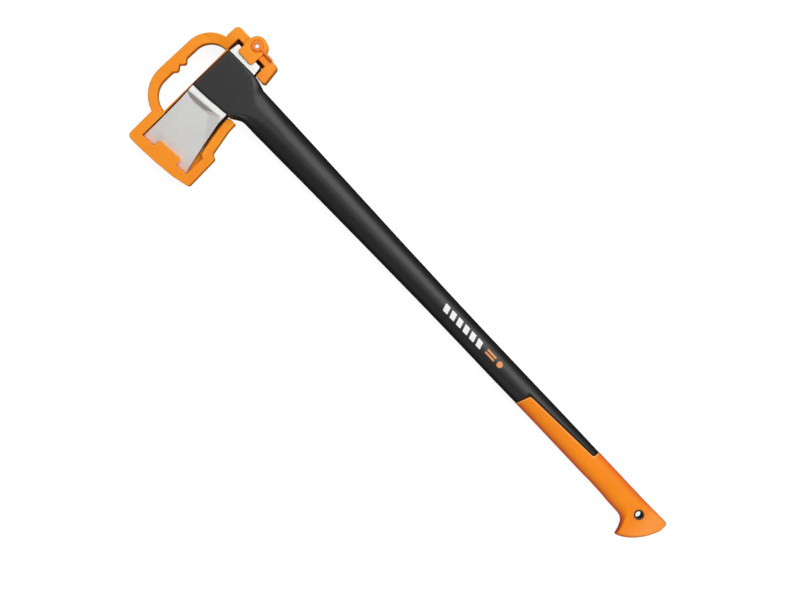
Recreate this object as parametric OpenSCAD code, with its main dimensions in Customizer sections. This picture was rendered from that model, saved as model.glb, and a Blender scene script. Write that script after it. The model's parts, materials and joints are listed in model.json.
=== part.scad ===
// Long-handled splitting axe with a clip-on blade guard.
// The axe lies on its side: +X runs along the handle to the head, +Y points to
// the cutting edge and +Z points up. The origin is under the middle of the
// whole object, on the surface it lies on. Inside the modules the hang hole is
// at x = y = 0 and the middle plane of the axe is z = 0.

/* [Axe] */
// Length from the butt to the top of the head
axe_len = 915; // [860:5:960]
// Thickness of the moulded collar, the thickest part of the axe
collar_t = 56; // [54:1:60]
// Thickness of the steel poll
poll_t = 34; // [30:1:34]
// Thickness of the steel inside the collar
waist_t = 26; // [22:1:36]
// Half thickness of the blade where the flat cheek ends
cheek_h = 16.2; // [14:0.2:18]

/* [Handle] */
// Wall of the hollow shaft
shaft_wall = 3.5; // [3:0.5:4.5]
// How far the steps of the grip stand proud of the shaft
grip_step = 0.8; // [0.4:0.1:1.2]
// Radius of the hang hole
hang_r = 4.9; // [4:0.1:5.5]
// Wall of the liner in the hang hole
bush_wall = 2.1; // [1.5:0.1:2.5]
// Length of the liner in the hang hole
bush_len = 31; // [28:0.5:31]

/* [Blade guard] */
// Thickness of the frame round the blade
guard_t = 26; // [22:1:28]
// Thickness of the carry handle
arch_t = 26; // [20:1:28]
// Thickness of the clasp and of the block beside the poll
clasp_t = 36; // [34:1:37]
// Distance over the outsides of the two ear plates
ear_out = 43; // [42:0.5:44]
// Thickness of one ear plate
ear_t = 3.9; // [3.4:0.1:3.9]
// Radius of the round end of an ear plate
ear_r = 14.5; // [13:0.5:14.5]

/* [Latch] */
// Outer radius of the hollow pivot
pin_r = 4.8; // [4:0.1:5]
// Radius of the hole through the pivot
pin_hole_r = 3; // [2.5:0.1:3.2]
// Radial running clearance of the pivot in the ear plates
pin_clear = 0.05; // [0.03:0.01:0.08]
// Side clearance of the latch between the ear plates
latch_gap = 0.35; // [0.3:0.05:0.5]
// Radius of the latch's knuckle
knuckle_r = 11.6; // [10:0.1:11.7]

/* [Hidden] */
$fn = 64;
dl = axe_len - 915;          // everything at the head end moves by this
ch = collar_t / 2;
px = 852.5;                  // pivot of the latch
py = -57;
edge_a = 5.4;                // slope of the cutting edge
back_x = -38.1;
front_x = 925 + dl;
low_y = py - ear_r;
core_r = 8.2;                // inside of the cored knuckle
rear_r = 9.6;                // rear journal of the latch
head_r = 7.6;                // ring head of the pivot
pin_seat = 9;                // height at which the pivot starts
high_y = 163;

// ---------- helpers ----------
// Moves a sub-part from the axe's own axes to the part's frame.
module place() {
    translate([-(back_x + front_x) / 2, -(low_y + high_y) / 2, ch]) children();
}
// The head end, which follows the length of the axe.
module head_end() { translate([dl, 0, 0]) children(); }

// Points of an arc.
function arc(cx, cy, r, a0, a1, n) =
    [for (i = [0:n]) let (a = a0 + (a1 - a0) * i / n) [cx + r * cos(a), cy + r * sin(a)]];
function unit(v) = v / norm(v);
// A polygon whose corners [x, y, r] are rounded to the radius r.
function rounded(P, n = 5) = [for (i = [0:len(P) - 1])
    let (c = [P[i][0], P[i][1]],
         r = len(P[i]) > 2 ? P[i][2] : 0,
         p = P[(i + len(P) - 1) % len(P)], q = P[(i + 1) % len(P)],
         u = unit([p[0], p[1]] - c), v = unit([q[0], q[1]] - c),
         half = acos(max(-1, min(1, u * v))) / 2)
    each (r <= 0 || half > 88 ? [c] :
        let (t = r / tan(half), m = c + unit(u + v) * (r / sin(half)),
             s = c + u * t, e = c + v * t,
             a0 = atan2(s[1] - m[1], s[0] - m[0]),
             a1r = atan2(e[1] - m[1], e[0] - m[0]),
             a1 = a1r - a0 > 180 ? a1r - 360 : a1r - a0 < -180 ? a1r + 360 : a1r)
        arc(m[0], m[1], r, a0, a1, n))];

// A flat shape between two heights.
module slab(z0, z1) { translate([0, 0, z0]) linear_extrude(z1 - z0) children(); }
module sym_slab(t) { slab(-t / 2, t / 2) children(); }
// A block given by its two opposite corners.
module block(a, b) { translate(a) cube(b - a); }

// One cross-section of the handle at x: from y0 to y1, half thickness h,
// corners with radii rt and rb along y and rz along z.
function ring(x, y0, y1, h, rt, rb, rz, n = 6) = concat(
    [for (i = [0:n]) let (a = 90 * i / n)
        [x, y1 - rt + rt * cos(a), h - rz + rz * sin(a)]],
    [for (i = [0:n]) let (a = 90 + 90 * i / n)
        [x, y0 + rb + rb * cos(a), h - rz + rz * sin(a)]],
    [for (i = [0:n]) let (a = 180 + 90 * i / n)
        [x, y0 + rb + rb * cos(a), -h + rz + rz * sin(a)]],
    [for (i = [0:n]) let (a = 270 + 90 * i / n)
        [x, y1 - rt + rt * cos(a), -h + rz + rz * sin(a)]]);

// A closed skin over a row of cross-sections.
module loft(R) {
    n = len(R[0]);
    k = len(R);
    polyhedron(
        points = [for (r = R) each r],
        faces = concat(
            [[for (j = [0:n - 1]) j]],
            [for (i = [0:k - 2]) for (j = [0:n - 1])
                [i * n + j, (i + 1) * n + j, (i + 1) * n + (j + 1) % n, i * n + (j + 1) % n]],
            [[for (j = [n - 1:-1:0]) (k - 1) * n + j]]));
}

// The middle of the shaft stretches with the length of the axe.
function sx(x) = x <= 280 ? x : x >= 745 ? x + dl : x + dl * (x - 280) / 465;

// ---------- handle tables: x, y low, y high, half thickness, radii ----------
// Bare shaft and collar.
shaft_rows = [
    [80, -19.34, 16.8, 13.8 - grip_step, 16.4, 16.4, 18.24],
    [120, -19.41, 17.8, 14.1 - grip_step, 16.8, 16.8, 18.81],
    [180, -19.2, 18.5, 14.5 - grip_step, 17.2, 17.2, 19],
    [234, -18.7, 19.5, 15.0 - grip_step, 17.6, 17.6, 18.9],
    [280, -18.4, 20.3, 14.8, 18, 18, 18.9],
    [340, -17.95, 20.8, 15, 18.1, 18.1, 18.75],
    [400, -17.9, 21.5, 15.2, 18.4, 18.4, 19],
    [460, -18.25, 22.6, 15.5, 19, 19, 19.85],
    [500, -18.4, 23.5, 15.7, 19.4, 19.4, 20.3],
    [550, -18.9, 24.6, 16, 20, 20, 21.2],
    [600, -19.4, 25.9, 16.4, 20.8, 20.8, 22.2],
    [650, -19.9, 27.1, 16.8, 21.6, 21.6, 23.1],
    [700, -20.4, 28.6, 17.3, 22.4, 22.4, 24],
    [730, -20.6, 29.5, 17.8, 22.6, 22.6, 24.2],
    [750, -20.7, 30, 18.4, 22, 17, 22.6],
    [765, -20.75, 30.5, 19.3, 20, 15.8, 23.5],
    [778, -20.8, 30.5, 20.5, 17, 13.8, 24.5],
    [786, -20.73, 30.6, 21.5, 14.5, 12.3, 25],
    [791, -20.68, 31.2, 22.4, 12.5, 11.3, 25],
    [795, -20.65, 33, 23.2, 11, 10.5, 24.5],
    [800, -20.6, 36, 24.4, 9.5, 9.6, 23.5],
    [805, -21.5, 39.2, 25.7, 6.2, 7.2, 22],
    [810, -23, 41, ch - 1.1, 3.9, 5.2, 20],
    [816, -24.7, 41.5, ch - 0.4, 3.4, 4.6, 17.5],
    [822, -25.9, 42, ch - 0.1, 3.2, 4.2, 13],
    [828, -26, 42.5, ch, 3, 4, 8.5],
    [836, -25.8, 43.6, ch, 3, 3.4, 5],
    [844, -25.6, 44.5, ch, 3, 3, 3],
    [852, -25.4, 45.2, ch, 3, 3, 3],
    [862, -25.1, 45.9, ch, 3, 3, 3],
    [873.6, -24.7, 46.4, ch, 3, 3, 3],
    [875.2, -23.9, 45.6, ch - 1, 2.4, 2.4, 2.4]];
function shaft_ring(r) = ring(sx(r[0]), r[1], r[2], r[3], r[4],
                              r[6],
                              r[0] <= 730 ? r[3] - 0.3 : r[5]);
// The core of the shaft under the grip.
core_rows = [
    [-24, -12.6, 11.6, 11.2], [-10, -15, 14.8, 12], [20, -15, 15.2, 11.8],
    [60, -14.9, 14.5, 11.2], [100, -14.9, 14.8, 11], [150, -14.8, 15.6, 11.2],
    [200, -14.7, 16.2, 11.6], [240, -14.5, 16.8, 12]];
function core_ring(r) = ring(r[0], r[1], r[2], r[3], 12, 12, r[3] - 0.3);
// The hollow of the shaft, before its wall is taken off.
hollow_rows = [
    [-30, -11.8, 10.8, 11], [-24, -12.6, 11.6, 11.2], [-10, -15, 14.8, 12],
    [20, -15, 15.2, 11.8], [60, -14.9, 14.5, 11.2], [100, -14.9, 14.8, 11],
    [240, -14.5, 16.8, 12], [300, -16.5, 19, 14], [400, -16.8, 20.4, 14.8],
    [500, -17, 22.4, 15.3], [600, -17.5, 25, 16], [700, -18.2, 27.8, 16.9],
    [760, -18.4, 29.4, 17.8], [785, -12, 24, 13.5]];
function hollow_ring(r, w) = ring(sx(r[0]), r[1] + w, r[2] - w, r[3] - w,
    (r[2] - r[1]) / 2 - w - 0.6, (r[2] - r[1]) / 2 - w - 0.6, r[3] - w - 0.3);
// Outside of the grip: x, y low, y high, half thickness, upper and lower radius
// along y, radius along z. The butt has a blunt rim, the handle is oval.
grip_rows = [
    [-38.1, -15.1, -9.4, 9.5, 1.8, 2.55, 1.5], [-37.6, -18.11, -5, 12.4, 4.5, 5.25, 3.8],
    [-36.4, -19.93, -1.5, 14.2, 5.5, 6.26, 5.4], [-34.4, -20.86, 3.2, 15.2, 6, 6.78, 6.4],
    [-31.4, -21.1, 9.8, 15.8, 6.5, 7.3, 7], [-27.4, -21.02, 16.8, 16.1, 6.5, 7.76, 7.4],
    [-22.4, -20.82, 23.8, 16.2, 6.5, 8.71, 7.6], [-16.4, -20.7, 30.6, 16.1, 6.5, 9.7, 7.8],
    [-9.4, -20.44, 36.6, 15.9, 6.5, 11.22, 8.2], [-3.4, -20.26, 40.6, 15.6, 6.5, 12.78, 8.8],
    [2.1, -20.16, 43, 15.3, 6.5, 14.33, 9.4], [3.2, -20.08, 40, 15.2, 8, 14.64, 9.8],
    [5.1, -20.11, 34.5, 15.1, 9.5, 15.05, 10.4], [7.6, -20.05, 29.4, 15, 11, 15.47, 11.2],
    [11.1, -20.11, 24.2, 14.8, 13, 15.9, 12.2], [14.7, -20.04, 21.6, 14.6, 14.5, 16.32, 13.2],
    [18.82, -19.99, 20, 14.5, 15.8, 16.74, 14], [25, -20.06, 19.5, 14.4, 16.6, 16.98, 14.1],
    [39.41, -19.97, 19.4, 14.2, 17, 16.98, 13.9], [60, -19.9, 18.5, 13.9, 16.6, 16.95, 13.6],
    [80, -19.84, 18.3, 13.8, 16.6, 16.92, 13.5], [100, -19.84, 18.8, 13.9, 17, 17.12, 13.6],
    [130, -20.05, 18.9, 14.2, 17.4, 17.45, 13.9], [170, -19.76, 19.1, 14.5, 17.8, 17.53, 14.2],
    [205, -19.42, 19.4, 14.8, 18, 17.58, 14.5], [238, -19.07, 19.9, 15.1, 18.2, 17.63, 14.8]];
function grip_ring(r) = ring(r[0], r[1], r[2], r[3], r[4], r[5], r[6]);

// Side view of the ground that the grip covers: the whole butt, then only the
// blade side of the handle up to its slanting end.
module grip_field() {
    slab(-30, 30) polygon(rounded([
        [-45, -30], [102.5, -30], [102.5, -15], [104.4, -9.2, 3.5],
        [227, -2.1, 2.5], [235.6, 26], [235.6, 60], [-45, 60]]));
}
module shaft_hollow(w) { loft([for (r = hollow_rows) hollow_ring(r, w)]); }

// ---------- head ----------
// Side view of the steel: cutting edge, heel, neck inside the collar and poll.
module head_side() {
    polygon(rounded([
        [792, 140.2], [812, 142.7], [832, 144.7], [852, 146.3], [872, 147.5],
        [871.7, 125], [872, 100], [873, 62], [873.2, 55, 3], [874, 49, 3],
        [874, 43.5], [868, 38], [868, -20], [873.2, -22.4], [875.2, -26.5],
        [873.9, -40.3, 3], [828.1, -40.3, 2.5], [825.8, -27.3], [825.8, -23.3],
        [826, -20], [822, 34], [812, 38], [810.6, 44], [810.3, 58], [808, 70],
        [804, 90], [800, 107]]));
}
// Half thickness of the blade at a distance s from the cutting edge.
blade_rows = [
    [-1, 0.15], [0, 0.2], [1.5, 1], [4, 1.8], [12, 3.6], [24, 6.1], [40, 9],
    [60, 12.4], [78, 15.2], [83.8, cheek_h], [85.2, cheek_h + 0.7],
    [90.6, 23.4], [92, 24.3], [93.4, 24.6], [108, 24.7]];
module blade_wedge() {
    translate([832, 143.95, 0]) rotate([0, 0, edge_a])
        translate([60, 0, 0]) rotate([0, -90, 0]) linear_extrude(120)
            polygon(concat([for (r = blade_rows) [r[1], -r[0]]],
                [for (i = [len(blade_rows) - 1:-1:0]) [-blade_rows[i][1], -blade_rows[i][0]]]));
}
// Height over [x, y] of the plane through three points.
function over(P, x, y) = let (n = cross(P[1] - P[0], P[2] - P[0]))
    P[0][2] - (n[0] * (x - P[0][0]) + n[1] * (y - P[0][1])) / n[2];
// A block whose top lies in the plane through three points, on both sides of the middle.
module facet(P, Q) {
    n = len(Q);
    F = concat([[for (i = [0:n - 1]) i]],
        [for (i = [0:n - 1]) [i, n + i, n + (i + 1) % n, (i + 1) % n]],
        [[for (i = [n - 1:-1:0]) n + i]]);
    for (s = [-1, 1]) intersection() {
        polyhedron(
            points = concat([for (q = Q) [q[0], q[1], 0]],
                [for (q = Q) [q[0], q[1], s * over(P, q[0], q[1])]]),
            faces = s > 0 ? F : [for (f = F) [for (i = [len(f) - 1:-1:0]) f[i]]]);
        block([780, 40, -24.5], [890, 100, 24.5]);
    }
}
heel_plane = [[805.2, 90, 10.9], [830, 58.6, 16.7], [816.3, 50.3, 24.2]];
toe_plane = [[872.4, 73, 14.7], [857, 62.3, 16.2], [869.8, 55.4, 24.2]];
module head_core() {
    head_end() intersection() {
        slab(-ch, ch) head_side();
        union() {
            intersection() {
                blade_wedge();
                block([780, 38, -40], [890, 160, 40]);
            }
            block([800, -22, -waist_t / 2], [880, 40, waist_t / 2]);
            // poll, with its end edges chamfered
            translate([800, 0, 0]) rotate([90, 0, 90]) linear_extrude(90)
                polygon([[-20, -poll_t / 2], [-20, poll_t / 2], [-38.6, poll_t / 2],
                         [-40.3, poll_t / 2 - 1.7], [-40.3, -poll_t / 2 + 1.7],
                         [-38.6, -poll_t / 2]]);
        }
    }
}
// The head with the slanted facets at its heel and toe.
module head_solid() {
    head_core();
    head_end() intersection() {
        slab(-24.5, 24.5) head_side();
        union() {
            facet(heel_plane, [[800, 50.3], [816.3, 50.3], [830, 58.6], [805.2, 90], [796, 90]]);
            facet(toe_plane, [[857, 62.3], [869.8, 55.4], [880, 55.4], [880, 73], [872.4, 73]]);
        }
    }
}
module head() { color("#d4d4d1") place() head_solid(); }

// ---------- handle ----------
module shaft() {
    color("#262626") place() difference() {
        union() {
            difference() {
                loft([for (r = shaft_rows) shaft_ring(r)]);
                grip_field();
            }
            loft([for (r = core_rows) core_ring(r)]);
        }
        shaft_hollow(shaft_wall);
        cylinder(r = hang_r + bush_wall, h = 60, center = true);
        head_core();
    }
}
module grip() {
    color("#f7911e") place() difference() {
        intersection() {
            loft([for (r = grip_rows) grip_ring(r)]);
            grip_field();
        }
        loft([for (r = core_rows) core_ring(r)]);
        // the flange of the end plug
        loft([for (x = [-26.6, -24]) ring(x, -11.6, 10.6, 10.4, 10, 10, 10.1)]);
        cylinder(r = hang_r + bush_wall, h = 60, center = true);
    }
}
// Closes the open end of the shaft and carries the hang hole across it.
module end_plug() {
    color("#2c2c2c") place() difference() {
        union() {
            intersection() {
                shaft_hollow(shaft_wall + 0.1);
                block([-24.5, -30, -30], [22, 30, 30]);
            }
            loft([for (x = [-26.6, -24]) ring(x, -11.6, 10.6, 10.4, 10, 10, 10.1)]);
        }
        cylinder(r = hang_r + bush_wall, h = 60, center = true);
    }
}
module hang_hole_liner() {
    color("#1e1e1e") place() difference() {
        cylinder(r = hang_r + bush_wall, h = bush_len, center = true);
        cylinder(r = hang_r, h = bush_len + 2, center = true);
    }
}

// ---------- blade guard ----------
arch_out = concat(arc(874.5, 66, 50.5, 74.3, 0, 14), arc(881, 8, 44, 0, -74.4, 14));
// Outline of the frame round the blade.
guard_left = rounded([
    [807.8, 46.8, 1.2], [802.6, 40.5, 2], [794.3, 40.8, 1.5], [793.6, 54, 6],
    [787.2, 84, 4], [785.2, 92.8, 3], [777.4, 96.4, 3], [774.7, 149.8, 4.5],
    [800, 156], [830, 160], [858, 162.3], [874, 163], [887, 163, 7],
    [888.4, 112], [873.8, 102], [873.6, 147.8], [789.6, 139.6], [790, 108, 1],
    [796, 103.6, 1], [798.2, 95], [801.5, 80], [804.5, 65], [807, 50]]);
module guard_side() {
    polygon(guard_left);
    difference() {
        // carry handle, spine and the block beside the poll
        polygon(concat([[873.9, 106], [887, 116]], arch_out,
            rounded([[892.9, -34.4], [893.5, -37], [893.5, -58.3, 7.5], [864.4, -58.3],
                     [864.4, -45.2], [879, -45.2, 1], [879, -23], [877, -22],
                     [875.9, 47], [874.4, 102]])));
        // finger loop
        polygon(concat([[876.4, 101.9]], arc(878, 71.2, 30.7, 91, 0, 12),
            // two low ridges on the inside of the grip
            [[909, 57], [908.6, 54.8], [907, 52.8], [905.6, 51], [905.2, 48.8], [905.8, 46.6],
             [907.6, 44.4], [909.3, 42.8], [909.8, 41.2], [909.3, 39.6], [907.6, 38.2],
             [906, 36.4], [905.3, 34.2], [905.8, 32], [907.6, 30], [909.4, 28.2], [910, 26]],
            arc(880.3, 8.5, 29.7, 0, -89, 12),
            [[879.7, -21.2], [878.5, 15], [877.6, 50]]));
    }
}
// Tab over the middle of the cutting edge.
module guard_tab() {
    polygon(rounded([[808.4, 146], [810.5, 130.6, 3.5], [850, 134.2, 2], [850.8, 152], [820, 152]]));
}
module ear_side() {
    polygon(rounded([[838.5, py], [838.5, -32, 4], [866.5, -32, 4], [866.5, py]]));
    translate([px, py]) circle(r = ear_r);
}
module guard_frame() {
    gz = guard_t / 2;
    cz = clasp_t / 2;
    color("#ff9820") place() head_end() difference() {
        union() {
            sym_slab(guard_t) polygon(guard_left);
            intersection() {
                sym_slab(arch_t) guard_side();
                block([873, -60, -30], [930, 118, 30]);
            }
            // block beside the poll, sloping down to the carry handle, and the web that joins the ears
            intersection() {
                sym_slab(clasp_t) guard_side();
                translate([860, 0, 0]) rotate([90, 0, 90]) linear_extrude(66)
                    polygon([[-60, -cz], [-42, -cz], [-14, -gz], [-14, gz], [-42, cz], [-60, cz]]);
            }
            sym_slab(ear_out - 0.2) polygon([[864.4, -58.3], [868, -58.3], [868, -45.2], [864.4, -45.2]]);
            for (s = [-1, 1]) {
                slab(s > 0 ? 5 : -gz, s > 0 ? gz : -5) guard_tab();
                slab(s > 0 ? ear_out / 2 - ear_t : -ear_out / 2,
                     s > 0 ? ear_out / 2 : -ear_out / 2 + ear_t) ear_side();
            }
            // web in the heel corner and the lips behind the blade and the poll
            slab(-gz, 2) polygon([[789, 140.5], [791.2, 140.5], [799.6, 105.4], [799.6, 102], [795, 102], [788, 108]]);
            slab(-gz, -gz + 4) polygon([[795, 106], [799.6, 105.4], [803.3, 90], [807.3, 70],
                [809.5, 59], [809.8, 50], [806, 49], [803, 65], [797, 95]]);
            slab(-gz, -gz + 4) polygon([[874.5, 148.5], [872.6, 148.5], [872.3, 125], [872.7, 102], [876, 102]]);
            slab(-cz, -cz + 4) polygon([[866, -46], [866, -41.2], [874.6, -41.2], [876.6, -27],
                [880, -27], [880, -46]]);
        }
        // slot for the cutting edge
        slab(-2, 2) polygon([[788, 130], [790.5, 142.6], [832, 147.2], [873.5, 150.4], [874, 130]]);
        // bores for the pivot and the recess for its head
        translate([px, py, 0]) {
            cylinder(r = pin_r + pin_clear, h = 80);
            translate([0, 0, ear_out / 2 - 1.2]) cylinder(r = 9.4, h = 10);
            translate([0, 0, -60]) cylinder(r = rear_r + pin_clear, h = 60);
        }
    }
}

// ---------- latch ----------
module latch_side() {
    polygon(rounded([[806.8, -28.6, 1.2], [811.5, -26.4, 2], [821.9, -27.2, 1.5],
        [824.6, -45.4, 1], [px, py + knuckle_r], [px, -58.2], [811.2, -58.2, 6]]));
}
module latch() {
    inner = ear_out / 2 - ear_t - latch_gap;
    cz = clasp_t / 2;
    color("#ff9a2e") place() head_end() difference() {
        union() {
            sym_slab(2 * inner) {
                latch_side();
                translate([px, py]) circle(r = knuckle_r);
            }
            // rear journal, which turns in the rear ear plate
            translate([px, py, -ear_out / 2]) cylinder(r = rear_r, h = 12);
            // full-width part of the hook, clear of the ear plates
            difference() {
                sym_slab(clasp_t) latch_side();
                block([838.1, -80, -40], [900, 0, 40]);
                translate([px, py, 0]) cylinder(r = ear_r + latch_gap + 0.1, h = 80, center = true);
            }
            // lip behind the poll
            slab(-cz, -cz + 3.6) polygon([[821, -31], [824.7, -31], [827.2, -41.2], [837, -41.2],
                [837, -47], [823, -47]]);
        }
        // seat of the pivot, and the cored inside of the knuckle
        translate([px, py, 0]) {
            cylinder(r = pin_r, h = 80);
            translate([0, 0, -60]) cylinder(r = core_r, h = 60 + pin_seat);
        }
        // groove beside the finger of the pivot
        block([822, -56.4, cz - 2.4], [839, -54.6, cz + 5]);
        // the guard's web stays clear of the knuckle
        block([px + knuckle_r + 0.01, -80, -40], [900, 0, 40]);
    }
}
// Hollow pivot with a ring head and a finger that keys it to the latch.
module latch_pin() {
    top = ear_out / 2 + 2.2;
    cz = clasp_t / 2;
    color("#ff8c3a") place() head_end() difference() {
        union() {
            translate([px, py, pin_seat]) cylinder(r = pin_r, h = top - 1 - pin_seat);
            translate([px, py, ear_out / 2 - 1.2 + latch_gap]) cylinder(r = head_r, h = top - ear_out / 2 + 1.2 - latch_gap);
            // finger over the ear plate, with its foot on the hook
            slab(ear_out / 2 + latch_gap, top) polygon(rounded([[822, -60, 1.7], [822, -56.6, 1.7],
                [px, -56.6], [px, -60]]));
            slab(cz, top) polygon(rounded([[822, -58.2], [822, -56.6, 1.5], [837, -56.6], [837, -58.2]]));
        }
        translate([px, py, 0]) cylinder(r = pin_hole_r, h = 80);
        translate([px, py, 0]) cylinder(r = pin_hole_r + 1, h = top - 6);
    }
}

head();
shaft();
grip();
end_plug();
hang_hole_liner();
guard_frame();
latch();
latch_pin();
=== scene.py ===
import json
import math

import bmesh
import bpy
import numpy as np
from mathutils import Matrix, Vector


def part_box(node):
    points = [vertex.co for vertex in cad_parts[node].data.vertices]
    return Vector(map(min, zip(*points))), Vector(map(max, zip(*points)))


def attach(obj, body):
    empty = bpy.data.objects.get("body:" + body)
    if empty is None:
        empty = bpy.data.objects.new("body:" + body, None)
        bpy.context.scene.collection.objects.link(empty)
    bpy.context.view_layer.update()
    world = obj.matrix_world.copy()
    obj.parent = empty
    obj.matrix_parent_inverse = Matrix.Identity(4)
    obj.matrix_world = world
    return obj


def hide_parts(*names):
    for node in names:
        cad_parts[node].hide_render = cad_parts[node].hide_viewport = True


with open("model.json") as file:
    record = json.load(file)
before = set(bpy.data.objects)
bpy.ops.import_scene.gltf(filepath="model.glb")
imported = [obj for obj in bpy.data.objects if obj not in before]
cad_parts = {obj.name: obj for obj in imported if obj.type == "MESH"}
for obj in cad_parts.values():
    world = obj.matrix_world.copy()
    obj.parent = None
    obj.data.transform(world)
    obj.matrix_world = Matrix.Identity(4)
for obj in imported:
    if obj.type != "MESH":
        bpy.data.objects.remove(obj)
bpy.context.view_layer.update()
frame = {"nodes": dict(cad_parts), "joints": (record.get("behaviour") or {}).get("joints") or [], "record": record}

# The hang hole's liner gives the origin of the axe's own axes: hang hole at
# x = y = 0, middle plane at z = 0. Tables below are in millimetres from there.
_lo, _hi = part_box("hang_hole_liner")
ORG = (_lo + _hi) / 2 * 1000.0
LINER_R = (_hi.x - _lo.x) * 500.0
LINER_H = (_hi.z - _lo.z) * 500.0
_pos = Vector(frame["joints"][0]["pos_m"]) * 1000.0 - ORG
PX, PY = _pos.x, _pos.y
_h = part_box("shaft")
CH = (_h[1].z - _h[0].z) * 500.0          # half thickness of the collar


# ------------------------------------------------------------------ helpers
def pchip(xs, ys):
    """Monotone cubic through the points."""
    xs, ys = np.asarray(xs, float), np.asarray(ys, float)
    h = np.diff(xs)
    d = np.diff(ys) / h
    m = np.zeros(len(xs))
    m[0], m[-1] = d[0], d[-1]
    for i in range(1, len(xs) - 1):
        if d[i - 1] * d[i] > 0:
            w1, w2 = 2 * h[i] + h[i - 1], h[i] + 2 * h[i - 1]
            m[i] = (w1 + w2) / (w1 / d[i - 1] + w2 / d[i])

    def f(x):
        x = np.clip(np.asarray(x, float), xs[0], xs[-1])
        i = np.clip(np.searchsorted(xs, x) - 1, 0, len(h) - 1)
        t = (x - xs[i]) / h[i]
        return ((1 + 2 * t) * (1 - t) ** 2 * ys[i] + t * (1 - t) ** 2 * h[i] * m[i]
                + t * t * (3 - 2 * t) * ys[i + 1] + t * t * (t - 1) * h[i] * m[i + 1])
    return f


def arc(cx, cy, r, a0, a1, n):
    return [(cx + r * math.cos(math.radians(a0 + (a1 - a0) * i / n)),
             cy + r * math.sin(math.radians(a0 + (a1 - a0) * i / n))) for i in range(n + 1)]


def rounded(P, n=8):
    """A polygon whose corners (x, y, r) are rounded."""
    out = []
    for i, c in enumerate(P):
        p, q = P[i - 1], P[(i + 1) % len(P)]
        r = c[2] if len(c) > 2 else 0
        cv = Vector(c[:2])
        u = (Vector(p[:2]) - cv).normalized()
        v = (Vector(q[:2]) - cv).normalized()
        half = math.acos(max(-1, min(1, u.dot(v)))) / 2
        if r <= 0 or half > math.radians(88):
            out.append((cv.x, cv.y))
            continue
        t = r / math.tan(half)
        m = cv + (u + v).normalized() * (r / math.sin(half))
        s, e = cv + u * t - m, cv + v * t - m
        a0, a1 = math.atan2(s.y, s.x), math.atan2(e.y, e.x)
        d = (a1 - a0 + math.pi) % (2 * math.pi) - math.pi
        out += [(m.x + r * math.cos(a0 + d * k / n), m.y + r * math.sin(a0 + d * k / n))
                for k in range(n + 1)]
    return out


def area2(P):
    return sum(P[i - 1][0] * P[i][1] - P[i][0] * P[i - 1][1] for i in range(len(P)))


def ccw(P):
    P = [(p[0], p[1]) for p in P]
    Q = [P[0]]
    for p in P[1:]:
        if math.dist(p, Q[-1]) > 1e-3:
            Q.append(p)
    if math.dist(Q[0], Q[-1]) < 1e-3:
        Q.pop()
    return Q if area2(Q) > 0 else Q[::-1]


def offset(P, d):
    """Moves every side of an anticlockwise polygon inwards by d."""
    out = []
    for i in range(len(P)):
        a, b, c = Vector(P[i - 1]), Vector(P[i]), Vector(P[(i + 1) % len(P)])
        e1, e2 = (b - a).normalized(), (c - b).normalized()
        n1, n2 = Vector((-e1.y, e1.x)), Vector((-e2.y, e2.x))
        k = 1 + n1.dot(n2)
        m = (n1 + n2) / max(k, 0.35)
        out.append((b.x + m.x * d, b.y + m.y * d))
    return out


def corners(P):
    """Anticlockwise list of corners (x, y, r), without doubles."""
    P = [(p[0], p[1], p[2] if len(p) > 2 else 0.0) for p in P]
    Q = [P[0]]
    for p in P[1:]:
        if math.dist(p[:2], Q[-1][:2]) > 1e-3:
            Q.append(p)
    if math.dist(Q[0][:2], Q[-1][:2]) < 1e-3:
        Q.pop()
    return Q if area2(Q) > 0 else Q[::-1]


def inset(P, d, n=6):
    """The outline moved inwards by d, its corners rounded to suit; the count stays the same."""
    m = len(P)
    flat = offset([(p[0], p[1]) for p in P], d)
    out = []
    for i in range(m):
        a, b, c = Vector(flat[i - 1]), Vector(flat[i]), Vector(flat[(i + 1) % m])
        r = P[i][2]
        o0, o1, o2 = Vector(P[i - 1][:2]), Vector(P[i][:2]), Vector(P[(i + 1) % m][:2])
        u0, v0 = (o0 - o1).normalized(), (o2 - o1).normalized()
        half = math.acos(max(-1, min(1, u0.dot(v0)))) / 2
        if r <= 0 or half > math.radians(88):
            out.append((b.x, b.y))
            continue
        turn = (o1 - o0).cross(o2 - o1)
        rr = max(r - d, 0.04) if turn > 0 else r + d
        t = rr / math.tan(half)
        mid = b + (u0 + v0).normalized() * (rr / math.sin(half))
        s, e = b + u0 * t - mid, b + v0 * t - mid
        a0, a1 = math.atan2(s.y, s.x), math.atan2(e.y, e.x)
        dd = (a1 - a0 + math.pi) % (2 * math.pi) - math.pi
        out += [(mid.x + rr * math.cos(a0 + dd * k / n), mid.y + rr * math.sin(a0 + dd * k / n))
                for k in range(n + 1)]
    return out


def prism(P, z0, z1, r0=0.6, r1=None, seg=3, inner=0.25, top=None):
    """A moulded slab with rounded rims: (vertices, faces) in millimetres."""
    P = corners(P)
    r1 = r0 if r1 is None else r1
    rings = []
    for k in range(seg, -1, -1):
        t = math.pi / 2 * k / seg
        rings.append((r0 * (1 - math.cos(t)), z0 + r0 * (1 - math.sin(t))))
    for k in range(seg + 1):
        t = math.pi / 2 * k / seg
        rings.append((r1 * (1 - math.cos(t)), z1 - r1 * (1 - math.sin(t))))
    rings = [(r0 + inner, z0)] + rings + [(r1 + inner, z1)]
    V, F = [], []
    for d, z in rings:
        ring = inset(P, d)
        n = len(ring)
        V += [(x, y, z) for x, y in ring]
    for k in range(len(rings) - 1):
        for j in range(n):
            a, b = k * n + j, k * n + (j + 1) % n
            F.append((a, b, b + n, a + n))
    F.append(tuple(range(n - 1, -1, -1)))
    F.append(tuple(range((len(rings) - 1) * n, len(rings) * n)))
    return V, F


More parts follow.
